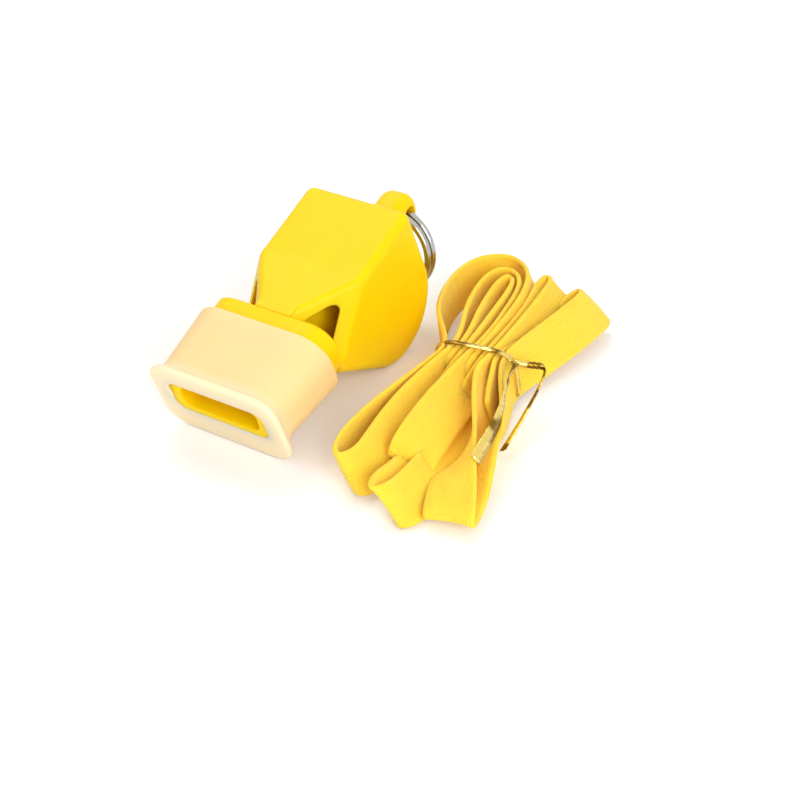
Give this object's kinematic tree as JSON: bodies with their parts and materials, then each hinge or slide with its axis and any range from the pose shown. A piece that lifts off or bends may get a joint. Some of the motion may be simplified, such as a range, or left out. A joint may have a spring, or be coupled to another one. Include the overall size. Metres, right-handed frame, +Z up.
{
  "type": "sports whistle",
  "caption": "Pealess sports whistle with leaning side windows, a slip-on mouth grip and a split ring, lying beside its flat lanyard, which is folded into a hank held by a twist tie.",
  "frame": {"origin": "middle of the whistle's outline on the table that it lies on, without the lanyard", "axes": "+X across the whistle towards its lanyard, +Y from the mouth to the ring, +Z up from the table; the whistle lies nose down on its belly and the lower edge of its lip"},
  "size_m": [0.0598, 0.0761, 0.0284],
  "materials": {
    "shell_plastic": "moulded, satin gloss",
    "cover_plastic": "moulded, satin gloss",
    "grip_rubber": "soft translucent silicone",
    "ring_steel": "bright plated",
    "lanyard_tape": "soft flat woven tape",
    "tie_film": "metallised gold film"
  },
  "bodies": {
    "whistle": {"whistle_body": "shell_plastic", "belly_cover": "cover_plastic"},
    "grip": {"mouth_grip": "grip_rubber"},
    "ring": {"split_ring": "ring_steel"},
    "lanyard": {"lanyard_hank": "lanyard_tape", "twist_tie": "tie_film"}
  },
  "joints": [
    {"name": "ring_swing", "type": "hinge", "parent": "whistle", "child": "ring", "pos_m": [0, 0.02646, 0.0209], "axis": [1, 0, 0], "range_deg": [-10, 150]},
    {"name": "grip_pull_off", "type": "slide", "parent": "whistle", "child": "grip", "axis": [0, -0.9538, -0.3003], "range_m": [0, 0.022]},
    {"name": "lanyard_lift", "type": "slide", "parent": "whistle", "child": "lanyard", "axis": [0, 0, 1], "range_m": [0, 0.06]}
  ]
}
